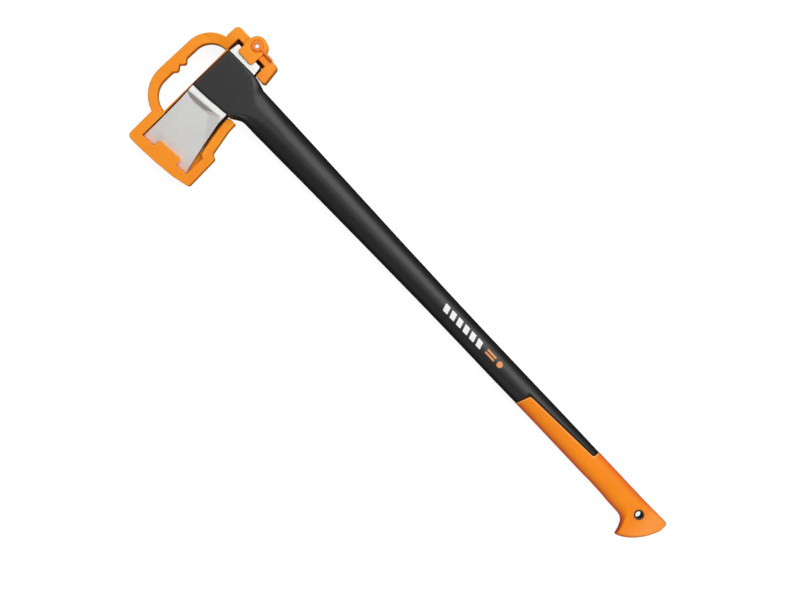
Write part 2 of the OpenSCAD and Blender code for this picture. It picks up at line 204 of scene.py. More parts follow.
def lathe(profile, cx, cy, n=96):
    """Turns a closed profile of (r, z) about the vertical line at cx, cy."""
    V, F, m = [], [], len(profile)
    for i in range(n):
        a = 2 * math.pi * i / n
        V += [(cx + r * math.cos(a), cy + r * math.sin(a), z) for r, z in profile]
    for i in range(n):
        for k in range(m):
            F.append((i * m + k, ((i + 1) % n) * m + k,
                      ((i + 1) % n) * m + (k + 1) % m, i * m + (k + 1) % m))
    return V, F


def grid_skin(rows, cap0=True, cap1=True):
    """Quads over closed rings of equal length."""
    V, F, n = [], [], len(rows[0])
    for r in rows:
        V += [tuple(p) for p in r]
    for k in range(len(rows) - 1):
        for j in range(n):
            a, b = k * n + j, k * n + (j + 1) % n
            F.append((a, b, b + n, a + n))
    if cap0:
        F.append(tuple(range(n - 1, -1, -1)))
    if cap1:
        F.append(tuple(range((len(rows) - 1) * n, len(rows) * n)))
    return V, F


def make(name, part, material, body="root", sharp=32, weighted=False, stands_for=()):
    V, F = part
    me = bpy.data.meshes.new(name)
    me.from_pydata([((x + ORG.x) / 1000, (y + ORG.y) / 1000, (z + ORG.z) / 1000) for x, y, z in V], [], F)
    bm = bmesh.new()
    bm.from_mesh(me)
    bmesh.ops.remove_doubles(bm, verts=bm.verts, dist=2e-6)
    bmesh.ops.dissolve_degenerate(bm, edges=bm.edges, dist=1e-6)
    bmesh.ops.recalc_face_normals(bm, faces=bm.faces)
    bm.to_mesh(me)
    bm.free()
    o = bpy.data.objects.new(name, me)
    bpy.context.scene.collection.objects.link(o)
    if material:
        me.materials.append(material)
    if body:
        finish_shading(o, sharp, weighted)
        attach(o, body)
        if stands_for:
            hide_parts(*stands_for)
    return o


def finish_shading(o, sharp, weighted):
    me = o.data
    me.shade_smooth()
    if sharp:
        me.set_sharp_from_angle(angle=math.radians(sharp))
    if weighted:
        w = o.modifiers.new("wn", "WEIGHTED_NORMAL")
        w.mode = "FACE_AREA"
        w.weight = 60
        w.keep_sharp = True


def boolean(o, other, op):
    """Applies one boolean with another temporary object, which is removed."""
    m = o.modifiers.new("b", "BOOLEAN")
    m.operation = op
    m.solver = "EXACT"
    m.object = other
    bpy.context.view_layer.update()
    dg = bpy.context.evaluated_depsgraph_get()
    me = bpy.data.meshes.new_from_object(o.evaluated_get(dg))
    o.modifiers.remove(m)
    old = o.data
    o.data = me
    bpy.data.meshes.remove(old)
    bpy.data.objects.remove(other)


def build(name, parts, cuts, material, body, stands_for, sharp=32):
    """One moulded or forged piece: the union of its parts, less its cuts."""
    o = make(name, parts[0], material, body=None)
    for i, p in enumerate(parts[1:]):
        boolean(o, make(f"t{i}", p, None, body=None), "UNION")
    for i, p in enumerate(cuts):
        boolean(o, make(f"c{i}", p, None, body=None), "DIFFERENCE")
    bm = bmesh.new()
    bm.from_mesh(o.data)
    bmesh.ops.remove_doubles(bm, verts=bm.verts, dist=4e-6)
    bmesh.ops.dissolve_degenerate(bm, edges=bm.edges, dist=2e-6)
    loose = [v for v in bm.verts if not v.link_faces]
    bmesh.ops.delete(bm, geom=loose, context="VERTS")
    bmesh.ops.recalc_face_normals(bm, faces=bm.faces)
    bm.to_mesh(o.data)
    bm.free()
    o.data.name = name
    if not o.data.materials:
        o.data.materials.append(material)
    finish_shading(o, sharp, True)
    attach(o, body)
    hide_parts(*stands_for)
    return o


# ---------------------------------------------------------------- materials
def nodes_of(name):
    m = bpy.data.materials.new(name)
    m.use_nodes = True
    nt = m.node_tree
    for n in list(nt.nodes):
        nt.nodes.remove(n)
    out = nt.nodes.new("ShaderNodeOutputMaterial")
    bsdf = nt.nodes.new("ShaderNodeBsdfPrincipled")
    nt.links.new(bsdf.outputs[0], out.inputs["Surface"])
    co = nt.nodes.new("ShaderNodeTexCoord")
    return m, nt, bsdf, co


def noise(nt, co, scale, detail=4, rough=0.55, stretch=None, socket="Object"):
    n = nt.nodes.new("ShaderNodeTexNoise")
    n.inputs["Scale"].default_value = scale
    n.inputs["Detail"].default_value = detail
    n.inputs["Roughness"].default_value = rough
    if stretch:
        mp = nt.nodes.new("ShaderNodeMapping")
        mp.inputs["Scale"].default_value = stretch[:3]
        if len(stretch) > 3:
            mp.inputs["Rotation"].default_value = (0, 0, stretch[3])
        nt.links.new(co.outputs[socket], mp.inputs["Vector"])
        nt.links.new(mp.outputs[0], n.inputs["Vector"])
    else:
        nt.links.new(co.outputs[socket], n.inputs["Vector"])
    return n


def ramp(nt, fac, stops, interp="LINEAR"):
    r = nt.nodes.new("ShaderNodeValToRGB")
    r.color_ramp.interpolation = interp
    e = r.color_ramp.elements
    while len(e) < len(stops):
        e.new(0.5)
    for k, (p, c) in zip(e, stops):
        k.position = p
        k.color = (*c, 1) if len(c) == 3 else c
    nt.links.new(fac, r.inputs["Fac"])
    return r


def grey(v):
    return (v, v, v)


def bump(nt, height, strength, distance, normal=None):
    b = nt.nodes.new("ShaderNodeBump")
    b.inputs["Strength"].default_value = strength
    b.inputs["Distance"].default_value = distance
    nt.links.new(height, b.inputs["Height"])
    if normal:
        nt.links.new(normal, b.inputs["Normal"])
    return b


def calc(nt, op, a, b=None):
    n = nt.nodes.new("ShaderNodeMath")
    n.operation = op
    for i, v in enumerate((a, b)):
        if isinstance(v, (int, float)):
            n.inputs[i].default_value = v
        elif v is not None:
            nt.links.new(v, n.inputs[i])
    return n.outputs[0]


def rise(nt, v, a, b):
    """0 below a, 1 above b, smooth between."""
    m = nt.nodes.new("ShaderNodeMapRange")
    m.interpolation_type = "SMOOTHSTEP"
    m.inputs["From Min"].default_value = a
    m.inputs["From Max"].default_value = b
    nt.links.new(v, m.inputs["Value"])
    return m.outputs[0]


def tint(nt, fac, base, colour):
    mc = nt.nodes.new("ShaderNodeMix")
    mc.data_type = "RGBA"
    nt.links.new(fac, mc.inputs[0])
    nt.links.new(base, mc.inputs[6])
    mc.inputs[7].default_value = (*colour, 1)
    return mc.outputs[2]


def line_mm(nt, co, nx, ny, x, y):
    """Distance in millimetres from a line in the side view, positive towards (nx, ny)."""
    d = nt.nodes.new("ShaderNodeVectorMath")
    d.operation = "DOT_PRODUCT"
    nt.links.new(co.outputs["Object"], d.inputs[0])
    d.inputs[1].default_value = (nx * 1000, ny * 1000, 0)
    return calc(nt, "SUBTRACT", d.outputs["Value"], nx * (x + ORG.x) + ny * (y + ORG.y))


def up_ness(nt, co):
    """How far a surface faces up or down, 0 to 1."""
    sp = nt.nodes.new("ShaderNodeSeparateXYZ")
    nt.links.new(co.outputs["Normal"], sp.inputs[0])
    return calc(nt, "ABSOLUTE", sp.outputs["Z"])


# The slanted end of the grip: a long line, a short line and the step at its start.
L1, L2, L3 = (-0.0578, 0.9983, 104.4, -9.2), (-0.9561, 0.2926, 227, -2.1), (-1.0, 0.0, 102.5, 0.0)


def grip_mm(nt, co):
    """Distance inside the grip's end in millimetres, negative on the bare shaft."""
    a, b, c = [line_mm(nt, co, *ln) for ln in (L1, L2, L3)]
    return calc(nt, "MINIMUM", calc(nt, "MAXIMUM", a, c), b)


def grip_look(nt, co, col, bsdf):
    """Painted shade: deeper, redder colour down the sides; a painted highlight along the raised lip; lighter towards
    the broad butt.
    """
    # painted shade: the sides, turned away from the light, are tinted a deeper red
    side = calc(nt, "SUBTRACT", 0.9, calc(nt, "MULTIPLY", rise(nt, up_ness(nt, co), 0.45, 0.985), 0.9))
    col = tint(nt, side, col, (0.95, 0.14, 0.038))
    d = grip_mm(nt, co)
    # painted highlight: a lighter, paler band along the raised lip
    lip = calc(nt, "MULTIPLY", rise(nt, d, -1.2, -0.2), calc(nt, "SUBTRACT", 1.0, rise(nt, d, 1.0, 2.4)))
    col = tint(nt, calc(nt, "MULTIPLY", lip, 0.75), col, (1.0, 0.46, 0.13))
    butt = calc(nt, "SUBTRACT", 1.0, rise(nt, line_mm(nt, co, 1.0, 0.0, 0, 0), -24, 4))
    return tint(nt, calc(nt, "MULTIPLY", butt, 0.6), col, (1.0, 0.36, 0.075))


def shaft_look(nt, co, col, bsdf):
    """Painted shadow in the groove along the grip's lip, dull and dark brown; a painted brown reflection on the
    collar's end.
    """
    # painted shadow: beside the grip's lip the black is less specular and dark brown, for the shade in the groove
    g = rise(nt, grip_mm(nt, co), -3.0, -1.7)
    nt.links.new(calc(nt, "SUBTRACT", 0.5, calc(nt, "MULTIPLY", g, 0.42)), bsdf.inputs["Specular IOR Level"])
    col = tint(nt, calc(nt, "MULTIPLY", g, 0.9), col, (0.035, 0.011, 0.002))
    # painted reflection: the collar's end is tinted brown for the orange spine beside it
    end = rise(nt, line_mm(nt, co, 1.0, 0.0, 0, 0), 869.8, 873.2)
    return tint(nt, calc(nt, "MULTIPLY", end, 0.85), col, (0.055, 0.019, 0.006))


def guard_look(nt, co, col, bsdf):
    """Painted shade: the thin spine along the collar's end, in the collar's shade, is painted a deep, brownish orange.
    """
    x = line_mm(nt, co, 1.0, 0.0, 0, 0)
    y = line_mm(nt, co, 0.0, 1.0, 0, 0)
    m = calc(nt, "MULTIPLY", rise(nt, x, 873.8, 874.6), calc(nt, "SUBTRACT", 1.0, rise(nt, x, 877.4, 878.4)))
    n = calc(nt, "MULTIPLY", rise(nt, y, -26, -23), calc(nt, "SUBTRACT", 1.0, rise(nt, y, 44, 52)))
    return tint(nt, calc(nt, "MULTIPLY", calc(nt, "MULTIPLY", m, n), 0.7), col, (0.30, 0.085, 0.012))


def plastic(name, c_lo, c_hi, rough=(0.38, 0.5), grain=2600, grain_amp=0.00006, soft=0.0,
            spec=0.5, cells=0, edge_lighten=0.0, look=None):
    """Moulded plastic: slow colour variation, fine texture, lighter on sharp edges."""
    m, nt, bsdf, co = nodes_of(name)
    slow = noise(nt, co, 14, 3, 0.6)
    fine = noise(nt, co, 420, 4, 0.6)
    mix = nt.nodes.new("ShaderNodeMix")
    mix.data_type = "FLOAT"
    mix.inputs[0].default_value = 0.3
    nt.links.new(slow.outputs["Fac"], mix.inputs[2])
    nt.links.new(fine.outputs["Fac"], mix.inputs[3])
    col = ramp(nt, mix.outputs[0], [(0.32, c_lo), (0.68, c_hi)])
    last = col.outputs[0]
    # lighter where the surface is sharply curved
    if edge_lighten:
        geo = nt.nodes.new("ShaderNodeNewGeometry")
        edge = ramp(nt, geo.outputs["Pointiness"], [(0.505, grey(0)), (0.56, grey(edge_lighten))])
        mc = nt.nodes.new("ShaderNodeMix")
        mc.data_type = "RGBA"
        nt.links.new(edge.outputs[0], mc.inputs[0])
        nt.links.new(last, mc.inputs[6])
        mc.inputs[7].default_value = (min(1, c_hi[0] * 1.15 + 0.02), min(1, c_hi[1] * 1.3 + 0.02),
                                      min(1, c_hi[2] * 1.6 + 0.02), 1)
        last = mc.outputs[2]
    bsdf.inputs["Specular IOR Level"].default_value = spec
    if look:
        last = look(nt, co, last, bsdf)
    nt.links.new(last, bsdf.inputs["Base Color"])
    rr = ramp(nt, fine.outputs["Fac"], [(0.3, grey(rough[0])), (0.7, grey(rough[1]))])
    nt.links.new(rr.outputs[0], bsdf.inputs["Roughness"])
    g = noise(nt, co, grain, 3, 0.6)
    height = g.outputs["Fac"]
    if cells:
        vor = nt.nodes.new("ShaderNodeTexVoronoi")
        vor.feature = "SMOOTH_F1"
        vor.inputs["Scale"].default_value = cells
        nt.links.new(co.outputs["Object"], vor.inputs["Vector"])
        add = nt.nodes.new("ShaderNodeMath")
        add.operation = "MULTIPLY_ADD"
        add.inputs[1].default_value = 0.7
        nt.links.new(vor.outputs["Distance"], add.inputs[0])
        nt.links.new(g.outputs["Fac"], add.inputs[2])
        height = add.outputs[0]
    b = bump(nt, height, 0.55, grain_amp)
    nt.links.new(b.outputs[0], bsdf.inputs["Normal"])
    bsdf.inputs["IOR"].default_value = 1.49
    if soft:
        bsdf.inputs["Subsurface Weight"].default_value = soft
        bsdf.inputs["Subsurface Radius"].default_value = (0.0030, 0.0010, 0.0003)
        bsdf.inputs["Subsurface Scale"].default_value = 1.0
    return m


ALPHA = math.radians(5.4)                 # slope of the cutting edge


def steel(name):
    """Ground and blasted steel: fine lines across the edge, faint blotches; painted highlight on the slanted facets,
    painted shade on the ramp, darker narrow sides.
    """
    m, nt, bsdf, co = nodes_of(name)
    bsdf.inputs["Metallic"].default_value = 0.5
    lines = noise(nt, co, 900, 3, 0.6, stretch=(1.0, 0.05, 1.0, math.radians(-5.4)))
    blotch = noise(nt, co, 45, 5, 0.65)
    grit = noise(nt, co, 3200, 2, 0.5)
    mix = nt.nodes.new("ShaderNodeMix")
    mix.data_type = "FLOAT"
    mix.inputs[0].default_value = 0.5
    nt.links.new(lines.outputs["Fac"], mix.inputs[2])
    nt.links.new(blotch.outputs["Fac"], mix.inputs[3])
    col = ramp(nt, mix.outputs[0], [(0.3, (0.84, 0.845, 0.835)), (0.7, (0.91, 0.912, 0.90))])
    # painted highlight: the two slanted facets are made a little brighter, for the light they catch
    sp = nt.nodes.new("ShaderNodeSeparateXYZ")
    nt.links.new(co.outputs["Normal"], sp.inputs[0])
    fac = calc(nt, "MULTIPLY", rise(nt, calc(nt, "ABSOLUTE", sp.outputs["X"]), 0.06, 0.22),
               rise(nt, up_ness(nt, co), 0.6, 0.8))
    last = tint(nt, calc(nt, "MULTIPLY", fac, 0.95), col.outputs[0], (1.0, 1.0, 0.99))
    # painted shade: the ramp under the collar is made darker than the ground faces, for the shade it lies in
    sx, sy = math.sin(ALPHA), -math.cos(ALPHA)
    d = line_mm(nt, co, sx, sy, 832, 143.95)
    a = line_mm(nt, co, math.cos(ALPHA), math.sin(ALPHA), 832, 143.95)
    lean = calc(nt, "MULTIPLY", calc(nt, "SUBTRACT", d, 84.8), 2.0)
    band = calc(nt, "MULTIPLY", rise(nt, d, 84.0, 85.6), calc(nt, "SUBTRACT", 1.0, rise(nt, d, 90.0, 92.2)))
    wide = calc(nt, "MULTIPLY", rise(nt, calc(nt, "ADD", a, lean), -4.5, 0.5),
                calc(nt, "SUBTRACT", 1.0, rise(nt, calc(nt, "SUBTRACT", a, lean), 23.0, 27.0)))
    last = tint(nt, calc(nt, "MULTIPLY", calc(nt, "MULTIPLY", band, wide), 0.68), last, (0.30, 0.325, 0.345))
    # the narrow sides are dark brown: partly a darker unground finish, partly painted shade where they face into the
    # shadowed gaps beside the guard
    flank = calc(nt, "SUBTRACT", 1.0, rise(nt, up_ness(nt, co), 0.22, 0.5))
    last = tint(nt, calc(nt, "MULTIPLY", flank, 0.93), last, (0.085, 0.036, 0.018))
    nt.links.new(last, bsdf.inputs["Base Color"])
    rr = ramp(nt, mix.outputs[0], [(0.3, grey(0.34)), (0.7, grey(0.46))])
    nt.links.new(rr.outputs[0], bsdf.inputs["Roughness"])
    b1 = bump(nt, lines.outputs["Fac"], 0.35, 0.00004)
    b2 = bump(nt, grit.outputs["Fac"], 0.4, 0.00003, b1.outputs[0])
    nt.links.new(b2.outputs[0], bsdf.inputs["Normal"])
    return m


MAT = {
    "steel": steel("ground_steel"),
    "black": plastic("fibre_composite", (0.0045, 0.0045, 0.0045), (0.0085, 0.0085, 0.0082),
                     rough=(0.33, 0.43), grain=2400, grain_amp=0.00007, spec=0.5, edge_lighten=0.12, look=shaft_look),
    "liner": plastic("liner_nylon", (0.008, 0.008, 0.008), (0.014, 0.014, 0.014), rough=(0.3, 0.42)),
    "plug": plastic("plug_nylon", (0.012, 0.012, 0.012), (0.02, 0.02, 0.02)),
    "grip": plastic("grip_overmould", (0.86, 0.225, 0.002), (0.95, 0.275, 0.004), rough=(0.5, 0.62),
                    grain=1500, grain_amp=0.00012, soft=0.35, spec=0.2, cells=900, look=grip_look),
    "guard": plastic("guard_plastic", (0.97, 0.29, 0.010), (1.0, 0.335, 0.017), rough=(0.40, 0.52),
                     grain=2000, grain_amp=0.00006, soft=0.3, spec=0.22, edge_lighten=0.2, look=guard_look),
    "latch": plastic("latch_plastic", (0.95, 0.265, 0.012), (1.0, 0.31, 0.02), rough=(0.40, 0.52),
                     grain=2000, grain_amp=0.00006, soft=0.3, spec=0.22, edge_lighten=0.2),
    "pin": plastic("pivot_plastic", (0.80, 0.19, 0.012), (0.88, 0.235, 0.02), rough=(0.3, 0.4),
                   grain=2400, grain_amp=0.00004, soft=0.25, spec=0.4, edge_lighten=0.2),
    "print_white": plastic("print_white", (0.80, 0.80, 0.79), (0.88, 0.88, 0.87), rough=(0.5, 0.6)),
    "print_orange": plastic("print_orange", (0.72, 0.25, 0.07), (0.85, 0.32, 0.10), rough=(0.5, 0.6)),
}

# ------------------------------------------------------------------- handle
STEP = 0.8
SHAFT = [  # x, y low, y high, half thickness, radius along y, radius along z
    (80, -19.34, 16.8, 13.8 - STEP, 16.4, 12.7, 18.24), (120, -19.41, 17.8, 14.1 - STEP, 16.8, 13.0, 18.81),
    (180, -19.2, 18.5, 14.5 - STEP, 17.2, 13.4, 19), (234, -18.7, 19.5, 15.0 - STEP, 17.6, 13.9, 18.9),
    (280, -18.4, 20.3, 14.8, 18, 14.5, 18.9), (340, -17.95, 20.8, 15, 18.1, 14.7, 18.75),
    (400, -17.9, 21.5, 15.2, 18.4, 14.9, 19), (460, -18.25, 22.6, 15.5, 19, 15.2, 19.85),
    (500, -18.4, 23.5, 15.7, 19.4, 15.4, 20.3), (550, -18.9, 24.6, 16, 20, 15.7, 21.2),
    (600, -19.4, 25.9, 16.4, 20.8, 16.1, 22.2), (650, -19.9, 27.1, 16.8, 21.6, 16.5, 23.1),
    (700, -20.4, 28.6, 17.3, 22.4, 17.0, 24), (730, -20.6, 29.5, 17.8, 22.6, 17.2, 24.2),
    (750, -20.7, 30, 18.4, 22, 17, 22.6), (765, -20.75, 30.5, 19.3, 20, 15.8, 23.5),
    (778, -20.8, 30.5, 20.5, 17, 13.8, 24.5), (786, -20.73, 30.6, 21.5, 14.5, 12.3, 25),
    (791, -20.68, 31.2, 22.4, 12.5, 11.3, 25), (795, -20.65, 33, 23.2, 11, 10.5, 23.4),
    (800, -20.6, 36, 24.4, 9.5, 9.6, 21), (805, -21.5, 39.2, 25.7, 6.2, 7.6, 18),
    (810, -23, 41, CH - 1.1, 3.9, 5.8, 14.5), (816, -24.7, 41.5, CH - 0.4, 3.4, 4.6, 11),
    (822, -25.9, 42, CH - 0.1, 3.2, 4.2, 7.8), (828, -26, 42.5, CH, 3, 4, 4.5),
    (836, -25.8, 43.6, CH, 3, 3.4, 5), (844, -25.6, 44.5, CH, 3, 3, 3),
    (852, -25.4, 45.2, CH, 3, 3, 3), (862, -25.1, 45.9, CH, 3, 3, 3),
    (873.0, -24.7, 46.4, CH, 3, 3, 3)]
CORE = [(-24, -12.6, 11.6, 11.2), (-10, -15, 14.8, 12), (20, -15, 15.2, 11.8), (60, -14.9, 14.5, 11.2),
        (100, -14.9, 14.8, 11), (150, -14.8, 15.6, 11.2), (200, -14.7, 16.2, 11.6), (240, -14.5, 16.8, 12)]
GRIP = [  # x, y low, y high, half thickness, upper and lower radius, radius along z
    (-38.1, -15.1, -9.4, 9.5, 1.8, 2.55, 1.5), (-37.6, -18.11, -5, 12.4, 4.5, 5.25, 3.8),
    (-36.4, -19.93, -1.5, 14.2, 5.5, 6.26, 5.4), (-34.4, -20.86, 3.2, 15.2, 6, 6.78, 6.4),
    (-31.4, -21.1, 9.8, 15.8, 6.5, 7.3, 7), (-27.4, -21.02, 16.8, 16.1, 6.5, 7.76, 7.4),
    (-22.4, -20.82, 23.8, 16.2, 6.5, 8.71, 7.6), (-16.4, -20.7, 30.6, 16.1, 6.5, 9.7, 7.8),
    (-9.4, -20.44, 36.6, 15.9, 6.5, 11.22, 8.2), (-3.4, -20.26, 40.6, 15.6, 6.5, 12.78, 8.8),
    (2.1, -20.16, 43, 15.3, 6.5, 14.33, 9.4), (3.2, -20.08, 40, 15.2, 8, 14.64, 9.8),
    (5.1, -20.11, 34.5, 15.1, 9.5, 15.05, 10.4), (7.6, -20.05, 29.4, 15, 11, 15.47, 11.2),
    (11.1, -20.11, 24.2, 14.8, 13, 15.9, 12.2), (14.7, -20.04, 21.6, 14.6, 14.5, 16.32, 13.2),
    (18.82, -19.99, 20, 14.5, 15.8, 16.74, 14), (25, -20.06, 19.5, 14.4, 16.6, 16.98, 14.1),
    (39.41, -19.97, 19.4, 14.2, 17, 16.98, 13.9), (60, -19.9, 18.5, 13.9, 16.6, 16.95, 13.6),
    (80, -19.84, 18.3, 13.8, 16.6, 16.92, 13.5), (100, -19.84, 18.8, 13.9, 17, 17.12, 13.6),
    (130, -20.05, 18.9, 14.2, 17.4, 17.45, 13.9), (170, -19.76, 19.1, 14.5, 17.8, 17.53, 14.2),
    (205, -19.42, 19.4, 14.8, 18, 17.58, 14.5), (238, -19.07, 19.9, 15.1, 18.2, 17.63, 14.8)]
FIELD = rounded([(-45, -30), (102.5, -30), (102.5, -15), (104.4, -9.2, 3.5), (227, -2.1, 2.5),
                 (235.6, 26), (235.6, 60), (-45, 60)])

A1 = [90 * i / 18 for i in range(19)]
A2 = [1.4 * i for i in range(33)] + [44.8 + 45.2 * i / 10 for i in range(1, 11)]
NF = 4


class Skin:
    """A handle surface given by a table of cross-sections."""

    def __init__(self, rows, key=None):
        rows = [list(r) for r in rows]
        self.xs = [r[0] for r in rows]
        self.f = [pchip(self.xs, [r[i] for r in rows]) for i in range(1, len(rows[0]))]

    def dims(self, x):
        return [f(x) for f in self.f]

    def half(self, x, k=None):
        """Upper half of the section at x (one x, or one for each sample)."""
        y0, y1, h, rt, rb, rz = self.dims(x)
        return half_section(y0, y1, h, rt, rb, rz)


def half_section(y0, y1, h, rt, rb, rz):
    n1, n2 = len(A1), len(A2)
    K = n1 + NF + n2
    y0, y1, h, rt, rb, rz = [np.broadcast_to(np.asarray(v, float), (K,)) for v in (y0, y1, h, rt, rb, rz)]
    Y, Z = np.zeros(K), np.zeros(K)
    a = np.radians(A1)
    s = slice(0, n1)
    Y[s], Z[s] = y1[s] - rt[s] + rt[s] * np.cos(a), h[s] - rz[s] + rz[s] * np.sin(a)
    s = slice(n1, n1 + NF)
    f = np.arange(1, NF + 1) / (NF + 1)
    Y[s], Z[s] = (y1[s] - rt[s]) * (1 - f) + (y0[s] + rb[s]) * f, h[s]
    s = slice(n1 + NF, K)
    a = np.radians(A2)
    Y[s], Z[s] = y0[s] + rb[s] - rb[s] * np.sin(a), h[s] - rz[s] + rz[s] * np.cos(a)
    return Y, Z


def ring_at(skin, X):
    """Closed ring of (x, y, z); X is one x, or one for each sample of the upper half."""
    Y, Z = skin.half(X)
    X = np.broadcast_to(np.asarray(X, float), Y.shape)
    top = np.stack([X, Y, Z], 1)
    low = top[::-1].copy()
    low[:, 2] *= -1
    return np.concatenate([top, low])


shaft_skin = Skin([(r[0], r[1], r[2], r[3], r[4], r[6] if len(r) > 6 else r[4], r[5]) for r in SHAFT])
core_skin = Skin([(r[0], r[1], r[2], r[3], 12, 12, r[3] - 0.3) for r in CORE])
grip_skin = Skin(GRIP)
KTOP = len(A1) + NF + len(A2)


def border_of(skin, dx, dy):
    """x at which each sample of the section crosses the slanted end of the grip."""
    pts = [(x + dx, y + dy) for x, y in FIELD if x > 50]
    ys = np.array([p[1] for p in pts])
    xs = np.array([p[0] for p in pts])
    o = np.argsort(ys, kind="stable")
    ys, xs = ys[o], xs[o]
    X = np.full(KTOP, 150.0)
    for _ in range(60):
        Y, _z = skin.half(X)
        X = 0.5 * X + 0.5 * np.interp(Y, ys, xs)
    return X


def grooved(ring, depth=0.7, wide=2.4):
    """Sinks the part of a shaft ring that runs along the grip's lip."""
    ring = np.array(ring, float)
    d = [ln[0] * (ring[:, 0] - ln[2]) + ln[1] * (ring[:, 1] - ln[3]) for ln in (L1, L2, L3)]
    t = np.clip((np.minimum(np.maximum(d[0], d[2]), d[1]) + wide + 0.7) / 0.9, 0, 1)
    g = depth * t * t * (3 - 2 * t) * np.clip((abs(ring[:, 2]) - 2.0) / 7.0, 0, 1)
    ring[:, 1] -= (ring[:, 1] - 0.8) / 18.0 * g
    ring[:, 2] -= ring[:, 2] / 14.0 * g
    return ring


def steps(a, b, n):
    return [a + (b - a) * i / n for i in range(n + 1)]


def shaft_part():
    xb = border_of(shaft_skin, 0.1, -0.1)
    rows = []
    for x in steps(-24, 60, 28):
        rows.append(ring_at(core_skin, x))
    for t in steps(0, 1, 50)[1:]:
        rows.append(ring_at(core_skin, 60 + (xb - 60) * t))
    for t in steps(0, 1, 90):
        rows.append(grooved(ring_at(shaft_skin, xb + (262 - xb) * t ** 1.25)))
    for x in steps(262, 740, 60)[1:] + steps(740, 828, 70)[1:] + steps(828, 873, 18)[1:]:
        rows.append(ring_at(shaft_skin, x))
    # rounded end of the collar
    y0, y1, h, rt, rb, rz = [float(v) for v in shaft_skin.dims(873.0)]
    R = 2.2
    for t in steps(0, 90, 5)[1:]:
        c, s = R * (1 - math.cos(math.radians(t))), R * math.sin(math.radians(t))
        Y, Z = half_section(y0 + c, y1 - c, h - c, rt - c * 0.6, rb - c * 0.6, rz - c * 0.6)
        top = np.stack([np.full(KTOP, 873.0 + s), Y, Z], 1)
        low = top[::-1].copy()
        low[:, 2] *= -1
        rows.append(np.concatenate([top, low]))
    return grid_skin(rows)


def grip_part():
    gx = [r[0] for r in GRIP]
    u = pchip(list(range(len(gx))), gx)
    cols = [pchip(list(range(len(gx))), [r[i] for r in GRIP]) for i in range(1, 7)]
    last = gx.index(25)
    rows = []
    n = last * 6
    for i in range(n + 1):
        k = last * i / n
        vals = [float(c(k)) for c in cols]
        Y, Z = half_section(*vals)
        top = np.stack([np.full(KTOP, float(u(k))), Y, Z], 1)
        low = top[::-1].copy()
        low[:, 2] *= -1
        rows.append(np.concatenate([top, low]))
    xb = border_of(grip_skin, -0.75, 0.75)
    for t in steps(0, 1, 80)[1:]:
        rows.append(ring_at(grip_skin, 25 + (xb - 25) * t))
    # rounded lip at the slanted end
    B = ring_at(grip_skin, xb)
    D = ring_at(grip_skin, xb + 0.5) - B
    n = len(B)
    T = np.array([B[(j + 1) % n] - B[j - 1] for j in range(n)])
    half = n // 2
    for j in (0, n - 1):      # at the two edges the border runs straight down
        T[j] = B[0] - B[n - 1]
    for j in (half - 1, half):
        T[j] = B[half] - B[half - 1]
    T /= np.linalg.norm(T, axis=1)[:, None]
    P2 = ring_at(grip_skin, xb)
    # surface normal from the section's own shape
    N = np.zeros_like(B)
    for j in range(n):
        a = P2[j] - P2[j - 1]
        b = P2[(j + 1) % n] - P2[j]
        t = a / max(np.linalg.norm(a), 1e-9) + b / max(np.linalg.norm(b), 1e-9)
        nn = np.cross(D[j], t)
        N[j] = nn / max(np.linalg.norm(nn), 1e-9)
    cen = np.array([0, 0.8, 0.0])
    for j in range(n):
        if np.dot(N[j], (B[j] - cen) * np.array([0, 1, 1])) < 0:
            N[j] *= -1
    O = np.cross(N, T)
    O /= np.linalg.norm(O, axis=1)[:, None]
    for j in range(n):
        if O[j] @ D[j] < 0:
            O[j] *= -1
    r = 0.75
    for k in range(1, 5):
        t = math.radians(90 * k / 4)
        rows.append(B + O * r * math.sin(t) - N * r * (1 - math.cos(t)))
    rows.append(B + O * r - N * 1.9)
    # the inside, over the core of the shaft
    xi = xb + 0.4
    for t in steps(1, 0, 40):
        inner = ring_at(core_skin, 20 + (xi - 20) * t)
        rows.append(inner * np.array([1, 1.008, 1.008]))
    for x in (0, -12, -24):
        rows.append(ring_at(core_skin, x) * np.array([1, 1.008, 1.008]))
    rows.append(ring_at(core_skin, -24) * np.array([0, 0.9, 0.9]) + np.array([-26.7, 0, 0]))
    return grid_skin(rows)


def hole_cutter(r, flare, z_s, n=72):
    """A vertical cutter whose two ends open out in a rounded rim."""
    prof = []
    for k in range(9):
        t = math.radians(90 * k / 8)
        prof.append((r + flare * (1 - math.cos(t)), z_s - flare + flare * math.sin(t)))
    prof.append((r + flare, z_s + 6))
    prof = [(a, -b) for a, b in prof[::-1]] + prof
    V, F, m = [], [], len(prof)
    for i in range(n):
        a = 2 * math.pi * i / n
        V += [(q * math.cos(a), q * math.sin(a), z) for q, z in prof]
    for i in range(n):
        for k in range(m - 1):
            F.append((i * m + k, ((i + 1) % n) * m + k, ((i + 1) % n) * m + k + 1, i * m + k + 1))
    F.append(tuple(i * m for i in range(n)))
    F.append(tuple(i * m + m - 1 for i in range(n - 1, -1, -1)))
    return V, F


def box_part(a, b):
    V = [(x, y, z) for x in (a[0], b[0]) for y in (a[1], b[1]) for z in (a[2], b[2])]
    return V, [(0, 1, 3, 2), (4, 6, 7, 5), (0, 4, 5, 1), (2, 3, 7, 6), (0, 2, 6, 4), (1, 5, 7, 3)]


shaft = build("handle_shaft", [shaft_part()], [hole_cutter(LINER_R, 0.01, 40)],
              MAT["black"], "root", ["shaft"], sharp=40)
grip = build("handle_grip", [grip_part()], [hole_cutter(LINER_R + 0.02, 1.5, 15.55)],
             MAT["grip"], "root", ["grip"], sharp=50)

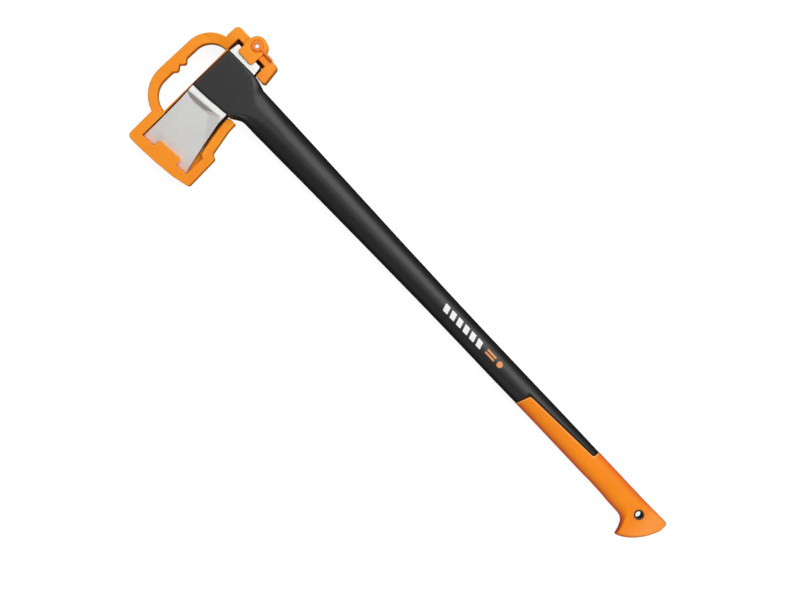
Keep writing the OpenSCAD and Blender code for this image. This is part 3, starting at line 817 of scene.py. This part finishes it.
# liner of the hang hole, with rounded mouths
_r0, _h0 = float(frame["record"]["mounts"][0]["dims"]["r_mm"]), LINER_H
prof = [(_r0, -_h0 + 1.0), (_r0 + 0.3, -_h0 + 0.3), (_r0 + 1.0, -_h0), (LINER_R - 0.2, -_h0),
        (LINER_R, -_h0 + 0.2), (LINER_R, _h0 - 0.2), (LINER_R - 0.2, _h0), (_r0 + 1.0, _h0),
        (_r0 + 0.3, _h0 - 0.3), (_r0, _h0 - 1.0)]
make("hang_hole_bush", lathe(prof, 0, 0, 96), MAT["liner"], "root", 40,
     stands_for=["hang_hole_liner"])

# --------------------------------------------------------------------- head
E, N2, P0 = np.array([math.cos(ALPHA), math.sin(ALPHA)]), np.array([-math.sin(ALPHA), math.cos(ALPHA)]), np.array([832, 143.95])
HEEL = [(792, 140.2), (800, 107), (804, 90), (808, 70), (810.3, 58), (810.6, 44), (811.4, 38)]
TOE = [(872, 147.5), (871.7, 125), (872, 100), (873, 62), (873.2, 55), (874, 49.5), (874, 43.5), (873, 38)]
EDGE = [(792, 140.2), (812, 142.7), (832, 144.7), (852, 146.3), (872, 147.5)]


def to_as(p):
    d = np.asarray(p, float) - P0
    return float(d @ E), float(-(d @ N2))


def from_as(a, s):
    return P0[0] + a * E[0] - s * N2[0], P0[1] + a * E[1] - s * N2[1]


_heel = sorted([to_as(p)[::-1] for p in HEEL])
_toe = sorted([to_as(p)[::-1] for p in TOE])
_edge = [to_as(p) for p in EDGE]
edge_s = pchip([p[0] for p in _edge], [p[1] for p in _edge])
BLADE = [(0, 0.12), (1.4, 0.95), (3.6, 1.75), (12, 3.6), (24, 6.1), (40, 9), (60, 12.4), (78, 15.2), (83.8, 16.2)]
_bs, _bz = [b[0] for b in BLADE], [b[1] for b in BLADE]


def smax(a, b, k):
    d = np.maximum(k - abs(a - b), 0) / k
    return np.maximum(a, b) + d * d * k / 4


def smin(a, b, k):
    return -smax(-a, -b, k)


def plane(p, q, r):
    """z over (x, y) of the plane through three points."""
    p, q, r = map(lambda v: np.array(v, float), (p, q, r))
    n = np.cross(q - p, r - p)
    return lambda x, y: p[2] - (n[0] * (x - p[0]) + n[1] * (y - p[1])) / n[2]


def cheek0(x, y):
    a, s = to_as((x, y))
    return float(np.interp(s, _bs, _bz))


def land_z(s):
    return np.interp(s, [90, 93.4, 99, 108], [24.35, 24.6, 24.65, 24.7])


web_l = plane((805.2, 90, cheek0(805.2, 90)), (830, 58.6, cheek0(830, 58.6)), (816.3, 50.3, 24.2))
web_r = plane((872.4, 73, cheek0(872.4, 73)), (857, 62.3, cheek0(857, 62.3)), (869.8, 55.4, 24.2))
front = plane((830, 58.6, cheek0(830, 58.6)), (857, 62.3, cheek0(857, 62.3)), (842, 53.4, 24.3))


def cheek(a, s):
    """Half thickness of the blade at (a, s)."""
    x, y = from_as(a, s)
    z = np.interp(s, _bs, _bz)
    z = np.where(s > 83.8, 16.2 + (s - 83.8) * 0.17, z)
    up = smin(land_z(s), smax(front(x, y), smax(web_l(x, y), web_r(x, y), 0.5), 0.7), 0.8)
    return smax(z, up, 0.8)


def blade_part():
    S = [0, 0.5, 1.0, 1.4, 1.8, 2.6, 3.4, 3.8, 4.4, 6, 9, 12, 16, 20, 24, 28, 32, 36, 40, 44, 48, 51]
    S += list(np.arange(52, 96, 0.6)) + [96, 97.5, 99, 100.5, 102, 104, 106.5]
    C = [0, 0.35, 0.9, 1.8, 3.0]
    rows_top = []
    for s in S:
        a0 = np.interp(s, [p[0] for p in _heel], [p[1] for p in _heel])
        a1 = np.interp(s, [p[0] for p in _toe], [p[1] for p in _toe])
        mid = list(np.linspace(a0 + 3.6, a1 - 3.6, 78))
        cols = [a0 + c for c in C] + mid + [a1 - c for c in C[::-1]]
        pts = []
        for j, a in enumerate(cols):
            sag = float(edge_s(np.clip(a, _edge[0][0], _edge[-1][0])))
            ss = s + sag * max(0.0, 1 - s / 50.0)
            z = float(cheek(a, ss if s > 50 else s))
            d = min(a - a0, a1 - a)
            if d < 0.35 and s > 0:
                z -= min(0.35, z * 0.2) * (1 - d / 0.35)
            x, y = from_as(a, ss)
            pts.append((x, y, z))
        rows_top.append(pts)
    V, F = [], []
    nr, nc = len(rows_top), len(rows_top[0])
    for sgn in (1, -1):
        for r in rows_top:
            V += [(x, y, sgn * z) for x, y, z in r]
    half = nr * nc
    for i in range(nr - 1):
        for j in range(nc - 1):
            q = (i * nc + j, i * nc + j + 1, (i + 1) * nc + j + 1, (i + 1) * nc + j)
            F.append(q)
            F.append(tuple(half + k for k in q[::-1]))
    for i in range(nr - 1):
        for j in (0, nc - 1):
            F.append((i * nc + j, (i + 1) * nc + j, half + (i + 1) * nc + j, half + i * nc + j))
    for j in range(nc - 1):
        for i in (0, nr - 1):
            F.append((i * nc + j, i * nc + j + 1, half + i * nc + j + 1, half + i * nc + j))
    return V, F


def poll_part():
    """Poll: a block with chamfered rims, built along y."""
    P = [(825.6, -20), (825.6, -26), (828.1, -40.3, 2.5), (873.9, -40.3, 3), (875.4, -26), (875.2, -20)]
    return prism(P, -17, 17, 1.5, 1.5, 3, 0.3)


head = build("splitting_head", [blade_part(),
                                 prism([(824, -24), (867, -24), (867, 44), (824, 44)], -13, 13, 0.4),
                                 poll_part()], [],
             MAT["steel"], "root", ["head"], sharp=35)

# -------------------------------------------------------------- blade guard
GZ = 13.0
arch_out = arc(874.5, 66, 50.5, 74.3, 0, 28) + arc(881, 8, 44, 0, -74.4, 28)
loop_in = (arc(878, 71.2, 30.7, 84, 0, 26)
           + [(909, 57), (908.7, 55.4), (908, 54), (906.9, 52.8), (905.9, 51.4), (905.3, 50), (905.2, 48.8),
              (905.5, 47.4), (906.3, 45.8), (907.6, 44.4), (908.8, 43.3), (909.6, 42.2), (909.8, 41.2),
              (909.6, 40.2), (908.8, 39.2), (907.6, 38.2), (906.4, 37), (905.6, 35.6), (905.3, 34.2),
              (905.4, 33), (906, 31.6), (907.2, 30.2), (908.6, 29), (909.5, 27.7), (910, 26)]
           + arc(880.3, 8.5, 29.7, 0, -84, 26))
shell = [(807.8, 46.8, 1.2), (806.2, 42.4, 1.2), (802.8, 40.5, 1.5), (794.3, 40.8, 1.5), (793.6, 54, 6), (787.2, 84, 4),
         (785.2, 92.8, 3), (777.4, 96.4, 3), (774.7, 149.8, 4.5), (800, 156), (830, 160), (858, 162.3),
         (874, 163), (887, 163, 7), (888.4, 112, 1.5), (880, 104, 1), (873.8, 102), (873.6, 147.8, 0.8),
         (789.6, 139.6, 0.8), (790, 108, 1), (796, 103.6, 1), (798.2, 95), (801.5, 80), (804.5, 65), (807, 50)]
parts = [prism(shell, -GZ, GZ, 1.3, 1.3, 4, 0.2)]
arch = ([(878, 108), (888.3, 117.0)] + arch_out + [(893.2, -36), (880, -36), (880, -23)] + loop_in[::-1]
        + [(878, 104.6)])
AZ = GZ - 0.03
parts.append(prism(arch, -AZ, AZ, 1.4, 1.4, 4, 0.15))


def sloped(part, y0=-42.0, y1=-14.0, k=12.9 / 18):
    """Draws the faces of a part towards the middle plane, from y0 down to a ratio k at y1."""
    bm = bmesh.new()
    vs = [bm.verts.new(v) for v in part[0]]
    for f in part[1]:
        bm.faces.new([vs[i] for i in f])
    for y in (y0,):
        bmesh.ops.bisect_plane(bm, geom=bm.verts[:] + bm.edges[:] + bm.faces[:], plane_co=(0, y, 0), plane_no=(0, 1, 0))
    bm.verts.ensure_lookup_table()
    bm.verts.index_update()
    V = []
    for v in bm.verts:
        t = min(1.0, max(0.0, (v.co.y - y0) / (y1 - y0)))
        V.append((v.co.x, v.co.y, v.co.z * (1 + (k - 1) * t)))
    F = [tuple(v.index for v in f.verts) for f in bm.faces]
    bm.free()
    return V, F


parts.append(sloped(prism([(864.4, -58.3, 0.4), (893.5, -58.3, 7.5), (893.5, -37)]
                          + arc(881, 8, 43.9, -74.4, -30, 16) + arc(880.3, 8.5, 29.8, -49.3, -84, 12)
                          + [(880.2, -21.6), (879, -23), (879, -45.2, 1), (864.4, -45.2, 0.4)],
                          -18, 18, 1.4, 1.4, 4, 0.15)))
# spine along the top of the head
parts.append(prism([(874.5, 104), (875.0, 80), (875.9, 47), (877, -22), (877.2, -25), (879.9, -25), (879.6, -21),
                    (878.5, 15), (877.6, 50), (876.6, 90), (876.5, 104)], -GZ + 0.1, GZ - 0.1, 0.4, 0.4, 2, 0.1))
EZ = (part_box("guard_frame")[1].z * 1000 - ORG.z)
parts.append(prism([(864.4, -58.3), (868, -58.3), (868, -45.2), (864.4, -45.2)], -EZ + 0.1, EZ - 0.1, 0.3, 0.3, 2, 0.1))
tab = [(808.4, 146), (810.5, 130.6, 3.5), (850, 134.2, 2), (850.8, 150), (830, 149)]
parts.append(prism(tab, 5, GZ, 0.4, 1.4, 4, 0.2))
parts.append(prism(tab, -GZ, -5, 1.4, 0.4, 4, 0.2))
ear = ([(838.5, -48), (838.5, -32, 4), (866.5, -32, 4), (866.5, -48)]
       + arc(PX, PY, 14.5, 15, -195, 60))
parts.append(prism(ear, EZ - 3.9, EZ, 0.5, 1.1, 4, 0.2))
parts.append(prism(ear, -EZ, -EZ + 3.9, 1.1, 0.5, 4, 0.2))
# web in the heel corner, lips behind the blade and beside the poll
parts.append(prism([(788, 141), (791.8, 140.5), (800.2, 105.4), (799.8, 102), (795, 102), (788, 107)], -GZ + 0.3, 0.5, 0.4, 0.6, 2, 0.1))
parts.append(prism([(795, 106), (800.2, 105.4), (803.85, 90), (807.85, 70), (810.05, 59), (810.35, 50), (806, 49),
                    (803, 65), (797, 95)], -GZ + 0.3, -GZ + 4, 0.3, 0.3, 2, 0.1))
parts.append(prism([(874.6, 148.5), (872.6, 148.5), (872.3, 125), (872.7, 103), (876, 103)], -GZ + 0.3, -GZ + 4, 0.2, 0.2, 2, 0.1))
parts.append(prism([(866, -46), (866, -40.45), (874.1, -40.45), (875.6, -27), (880, -27), (880, -46)],
                   -18, -14, 0.3, 0.3, 2, 0.1))
cuts = [prism([(788, 130), (790.5, 142.6), (832, 147.2), (873.5, 150.4), (874, 130)], -2, 2, 0.05, 0.05, 1, 0.01),
        hole_cutter(0.1, 0.01, 1)]
_bore = [(0.0, -60.0), (9.65, -60.0), (9.65, 0.0), (4.85, 0.0), (4.85, EZ - 1.2), (9.0, EZ - 1.2), (9.4, EZ - 0.8),
         (9.4, EZ + 6), (0.0, EZ + 6)]


def solid_lathe(profile, cx, cy, n=96):
    """A turned solid whose profile starts and ends on the axis."""
    inner = [p for p in profile if p[0] > 0]
    V, F, m = [], [], len(inner)
    for i in range(n):
        a = 2 * math.pi * i / n
        V += [(cx + r * math.cos(a), cy + r * math.sin(a), z) for r, z in inner]
    for i in range(n):
        for k in range(m - 1):
            F.append((i * m + k, ((i + 1) % n) * m + k, ((i + 1) % n) * m + k + 1, i * m + k + 1))
    F.append(tuple(i * m for i in range(n - 1, -1, -1)))
    F.append(tuple(i * m + m - 1 for i in range(n)))
    return V, F


cuts = [cuts[0], solid_lathe(_bore, PX, PY)]
guard = build("blade_guard", parts, cuts, MAT["guard"], "root", ["guard_frame"], sharp=38)

# -------------------------------------------------------------------- latch
IN = EZ - 3.9 - 0.35
hook = [(806.8, -28.6, 1.2), (811.5, -26.4, 2), (823.3, -27.1, 1.5), (825, -45.4, 1), (838.1, -45.4, 0.6),
        (838.1, -53.2), (837.6, -55.5), (837.6, -58.2, 0.3), (811.2, -58.2, 6)]
knuckle = [(828, -46.0), (836, -45.6)] + arc(PX, PY, 11.6, 95, -172, 72) + [(828, -57.8)]
lparts = [prism(hook, -18, 18, 1.4, 1.4, 4, 0.2), prism(knuckle, -IN, IN, 0.6, 0.6, 3, 0.2),
          prism([(821, -31), (826.2, -31), (827.9, -40.45), (838.15, -40.45), (838.15, -47), (823, -47)], -18, -14.4, 0.3, 0.3, 2, 0.1),
          prism(arc(PX, PY, 9.6, 0, 357, 72), -EZ + 0.05, -10, 0.5, 0.1, 3, 0.2)]
lcuts = [solid_lathe([(0, -60.0), (8.2, -60.0), (8.2, 9.0), (4.8, 9.0), (4.8, 60.0), (0, 60.0)], PX, PY),
         prism([(822, -56.4, 0.7), (822, -54.6, 0.7), (840, -54.6), (840, -56.4)], 15.6, 30, 0.05, 0.05, 1, 0.01)]
latch = build("latch_hook", lparts, lcuts, MAT["latch"], "latch", ["latch"], sharp=38)

# pivot: hollow, with a ring head and a finger
TOP = EZ + 2.2
pin_prof = [(4.0, 9.3), (4.3, 9.0), (4.5, 9.0), (4.8, 9.3), (4.8, EZ - 0.85), (7.1, EZ - 0.85), (7.6, EZ - 0.4), (7.6, TOP - 0.9),
            (7.45, TOP - 0.35), (7.0, TOP - 0.05), (6.6, TOP), (4.2, TOP), (3.5, TOP - 0.15), (3.05, TOP - 0.6),
            (3.0, TOP - 1.0), (3.0, TOP - 6), (4.0, TOP - 6)]
finger = [(822, -60, 1.6), (822, -56.6, 1.6), (849.0, -56.6), (849.0, -60)]
foot = [(822.1, -58.2), (822.1, -56.7, 1.2), (836.8, -56.7), (836.8, -58.2)]
pin = build("latch_pivot", [lathe(pin_prof, PX, PY, 96), prism(finger, EZ + 0.4, TOP, 0.3, 0.6, 3, 0.1),
                            prism(foot, 18.02, EZ + 1.2, 0.1, 0.1, 1, 0.05)],
            [solid_lathe([(0, -60.0), (2.98, -60.0), (2.98, 60.0), (0, 60.0)], PX, PY)],
            MAT["pin"], "latch", ["latch_pin"], sharp=38)


# -------------------------------------------- plain printed marks on the shaft
def on_shaft(P, name, mat, thick=0.10):
    """A thin print that follows the shaft's surface."""
    P = ccw(P)
    me = bpy.data.meshes.new(name)
    bm = bmesh.new()
    vs = [bm.verts.new((x, y, 0)) for x, y in P]
    bm.faces.new(vs)
    xs, ys = [p[0] for p in P], [p[1] for p in P]
    for v0, v1, ax in ((min(xs), max(xs), 0), (min(ys), max(ys), 1)):
        c = v0 + 0.8
        while c < v1:
            geom = bm.verts[:] + bm.edges[:] + bm.faces[:]
            co, no = [0, 0, 0], [0, 0, 0]
            co[ax], no[ax] = c, 1
            bmesh.ops.bisect_plane(bm, geom=geom, plane_co=co, plane_no=no)
            c += 0.8 if ax else 3.0
    ret = bmesh.ops.extrude_face_region(bm, geom=bm.faces[:])
    up = {v for v in ret["geom"] if isinstance(v, bmesh.types.BMVert)}
    for v in bm.verts:
        x, y = v.co.x, v.co.y
        Y, Z = shaft_skin.half(x)
        o = np.argsort(Y)
        z = float(np.interp(y, Y[o], Z[o]))
        v.co = Vector(((x + ORG.x) / 1000, (y + ORG.y) / 1000, (z + (thick if v in up else -0.25) + ORG.z) / 1000))
    bmesh.ops.recalc_face_normals(bm, faces=bm.faces)
    bm.to_mesh(me)
    bm.free()
    return me


def print_piece(name, shapes, mat):
    bm = bmesh.new()
    for P in shapes:
        me = on_shaft(P, name, mat)
        bm.from_mesh(me)
        bpy.data.meshes.remove(me)
    me = bpy.data.meshes.new(name)
    bm.to_mesh(me)
    bm.free()
    me.materials.append(mat)
    o = bpy.data.objects.new(name, me)
    bpy.context.scene.collection.objects.link(o)
    finish_shading(o, 40, False)
    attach(o, "root")
    return o


def bar(x0, x1, y0, y1, slant=0.0, r=1.2):
    return rounded([(x0, y0, r), (x1, y0, r), (x1 + slant, y1, r), (x0 + slant, y1, r)], 5)


white = [bar(396 - 13.5 * i, 405 - 13.5 * i, -5.2, 5.4, -4.0, 1.0) for i in range(6)]
print_piece("print_bars_white", white, MAT["print_white"])
orange = [bar(299, 317, 0.2, 3.0, 0, 1.3), bar(299, 317, -4.6, -1.8, 0, 1.3)]
orange += [arc(289.5, -0.8, 4.6, 0, 354, 40)]
print_piece("print_marks_orange", orange, MAT["print_orange"])

# the end plug stays as it is, inside the handle
plug = frame["nodes"]["end_plug"]
plug.data.materials.clear()
plug.data.materials.append(MAT["plug"])

# ---------------------------------------------------------- stage and camera
# The axe rests on the flat of the collar and on the rim of the butt, so the
# floor leans by the small angle that touches both.
g_lo, g_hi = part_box("grip")
s_lo, s_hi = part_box("shaft")
x_a, z_a = s_hi.x - 0.045, s_lo.z
x_b, z_b = g_lo.x + 0.012, g_lo.z
slope = (z_b - z_a) / (x_b - x_a)
fm = bpy.data.meshes.new("floor")
fb = bmesh.new()
bmesh.ops.create_grid(fb, x_segments=8, y_segments=8, size=6)
for v in fb.verts:
    v.co.z = z_a + slope * (v.co.x - x_a) - 0.0004
fb.to_mesh(fm)
fb.free()
floor = bpy.data.objects.new("floor", fm)
bpy.context.scene.collection.objects.link(floor)
fmat, fnt, fbs, fco = nodes_of("floor_pale")
fn = noise(fnt, fco, 3, 2)
fr = ramp(fnt, fn.outputs["Fac"], [(0.3, (0.26, 0.26, 0.26)), (0.7, (0.28, 0.28, 0.28))])
fnt.links.new(fr.outputs[0], fbs.inputs["Base Color"])
fbs.inputs["Roughness"].default_value = 0.9
fbs.inputs["Specular IOR Level"].default_value = 0.1
fbs.inputs["Emission Color"].default_value = (1, 1, 1, 1)
fbs.inputs["Emission Strength"].default_value = 0.88
fm.materials.append(fmat)
floor.visible_glossy = False
floor.visible_diffuse = False

scene = bpy.context.scene
world = bpy.data.worlds.new("studio")
scene.world = world
world.use_nodes = True
wn = world.node_tree
bg = wn.nodes["Background"]
wco = wn.nodes.new("ShaderNodeTexCoord")
sep = wn.nodes.new("ShaderNodeSeparateXYZ")
wn.links.new(wco.outputs["Generated"], sep.inputs[0])
mr = wn.nodes.new("ShaderNodeMapRange")
mr.inputs["From Min"].default_value = -1.0
mr.inputs["From Max"].default_value = 1.0
wn.links.new(sep.outputs["Z"], mr.inputs["Value"])
wr = ramp(wn, mr.outputs[0], [(0.0, grey(0.04)), (0.47, grey(0.06)), (0.56, grey(0.27)), (1.0, grey(0.34))])
wn.links.new(wr.outputs[0], bg.inputs[0])
bg.inputs[1].default_value = 1.0


def area(name, angle, turn, dist, size, long, radiance):
    """A soft box seen at an angle off the vertical, turned about Z from -Y; its brightness is a radiance."""
    li = bpy.data.lights.new(name, "AREA")
    li.shape = "RECTANGLE"
    li.size, li.size_y = long, size
    li.energy = radiance * math.pi * size * long
    o = bpy.data.objects.new(name, li)
    scene.collection.objects.link(o)
    a, b = math.radians(angle), math.radians(turn)
    loc = Vector((math.sin(a) * math.sin(b), -math.sin(a) * math.cos(b), math.cos(a))) * dist
    o.location = loc
    o.rotation_euler = (-loc).to_track_quat("-Z", "Y").to_euler()
    return o


area("key", 28, 0, 2.3, 1.70, 3.4, 2.76)
area("fill", 59, 222, 2.4, 1.1, 1.3, 2.4)

cam = bpy.data.cameras.new("cam")
cam_o = bpy.data.objects.new("cam", cam)
scene.collection.objects.link(cam_o)
scene.camera = cam_o
cam.sensor_width = 36
DIST = 3.35
cam.lens = 36 * (DIST - 0.014) / 1.132
cam_o.location = ((452.8 + ORG.x) / 1000, (39.9 + ORG.y) / 1000, ORG.z / 1000 + DIST)
right = Vector((-0.6820, -0.7314, 0))
up = Vector((0.7314, -0.6820, 0))
back = right.cross(up)
cam_o.matrix_world = Matrix.Translation(cam_o.location) @ Matrix((right, up, back)).transposed().to_4x4()
cam.clip_start, cam.clip_end = 0.05, 60

scene.view_settings.view_transform = "Standard"
scene.view_settings.look = "None"
